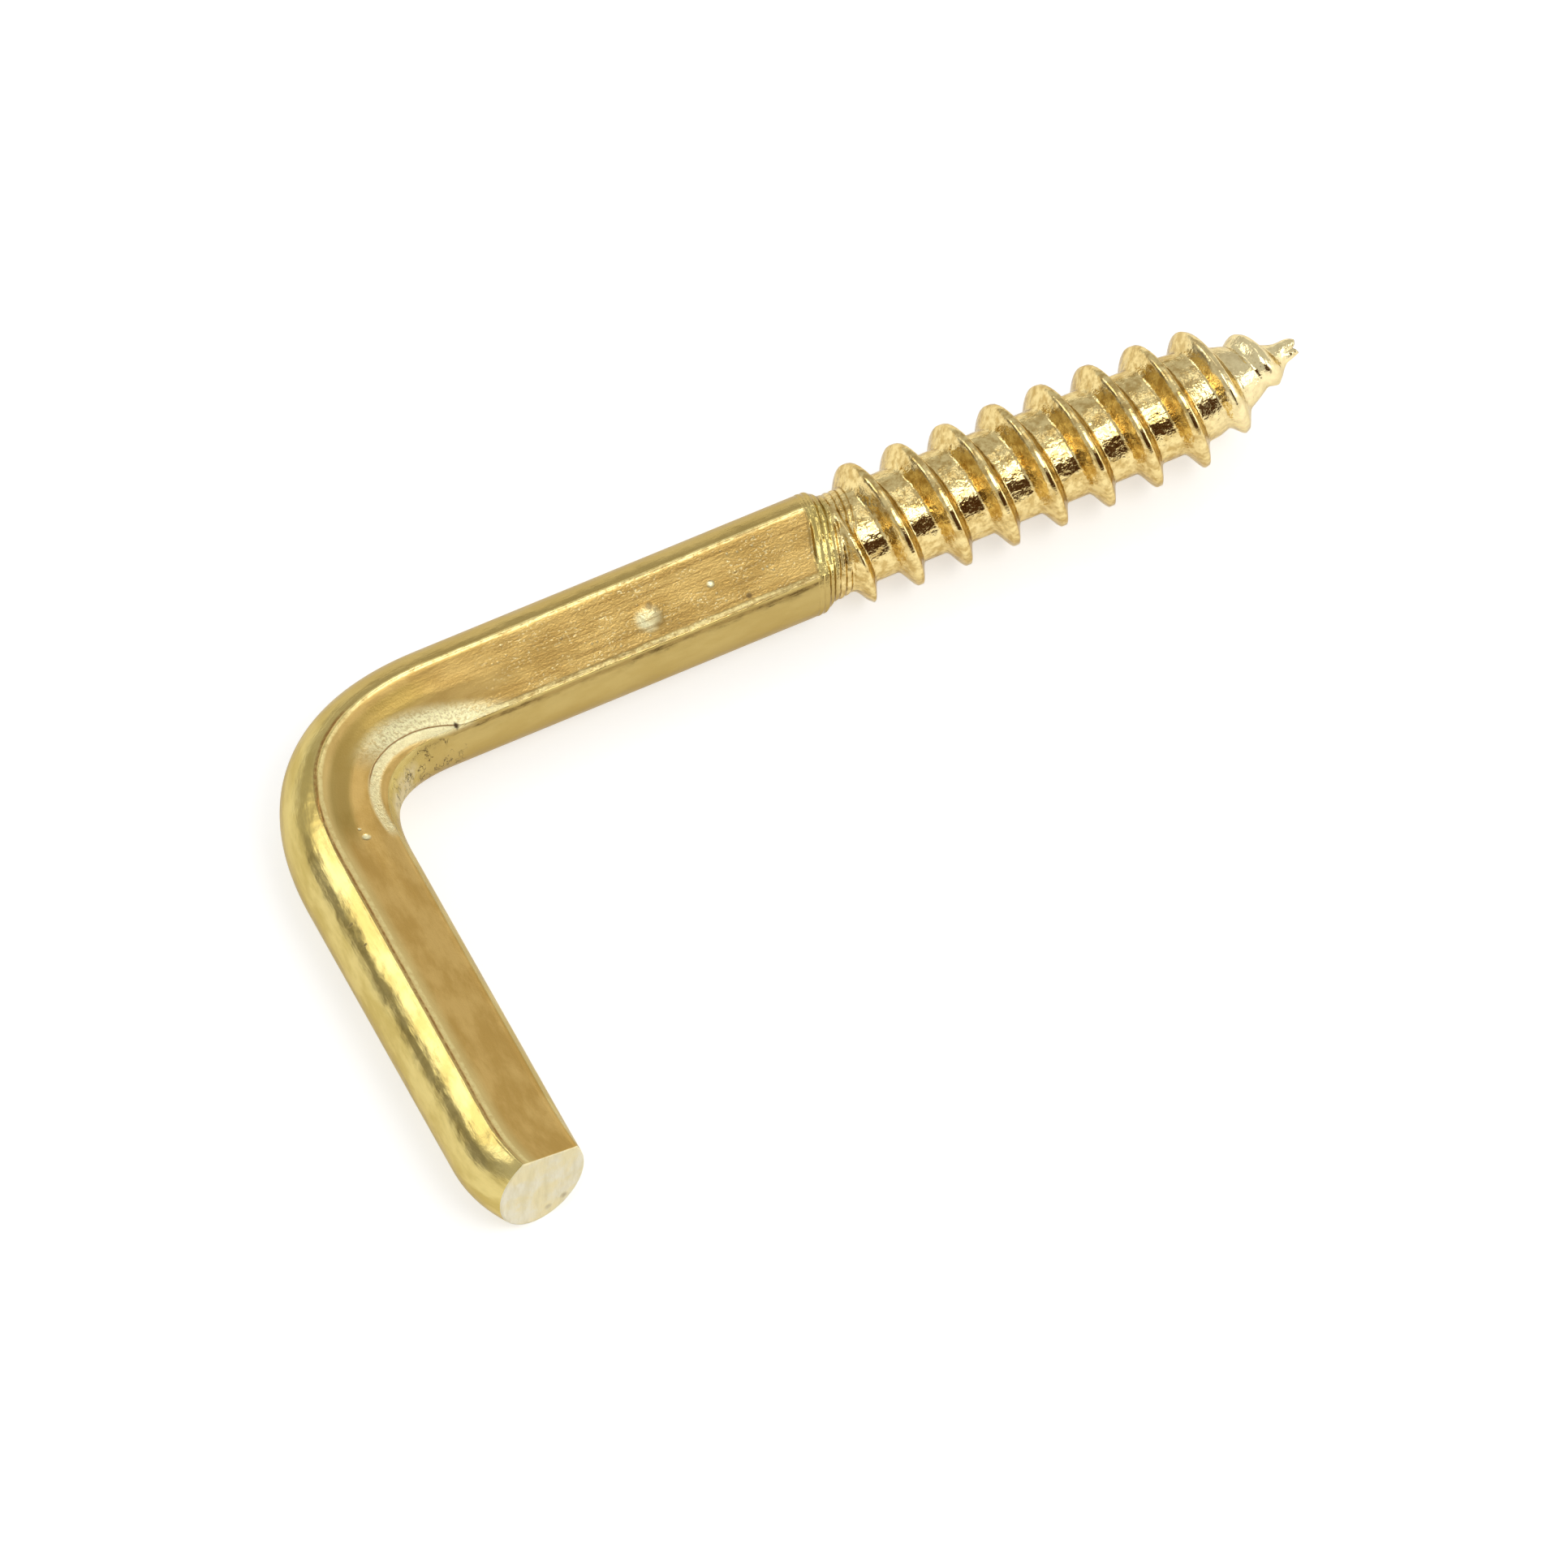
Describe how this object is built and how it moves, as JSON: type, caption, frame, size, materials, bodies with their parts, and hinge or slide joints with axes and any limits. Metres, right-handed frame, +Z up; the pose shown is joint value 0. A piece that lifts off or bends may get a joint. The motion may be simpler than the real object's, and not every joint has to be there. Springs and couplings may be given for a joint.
{
  "type": "square screw hook",
  "caption": "Square-bend screw hook in brass wire: short arm, tight bend, long arm and a wood-screw thread with a sharp point.",
  "frame": {"origin": "middle of the part's footprint, on the surface it lies on", "axes": "+X along the long arm towards the screw point, -Y along the short arm, +Z up"},
  "size_m": [0.034, 0.0184, 0.0043],
  "materials": {
    "brass": "satin"
  },
  "bodies": {
    "root": {"hook": "brass"}
  },
  "joints": []
}
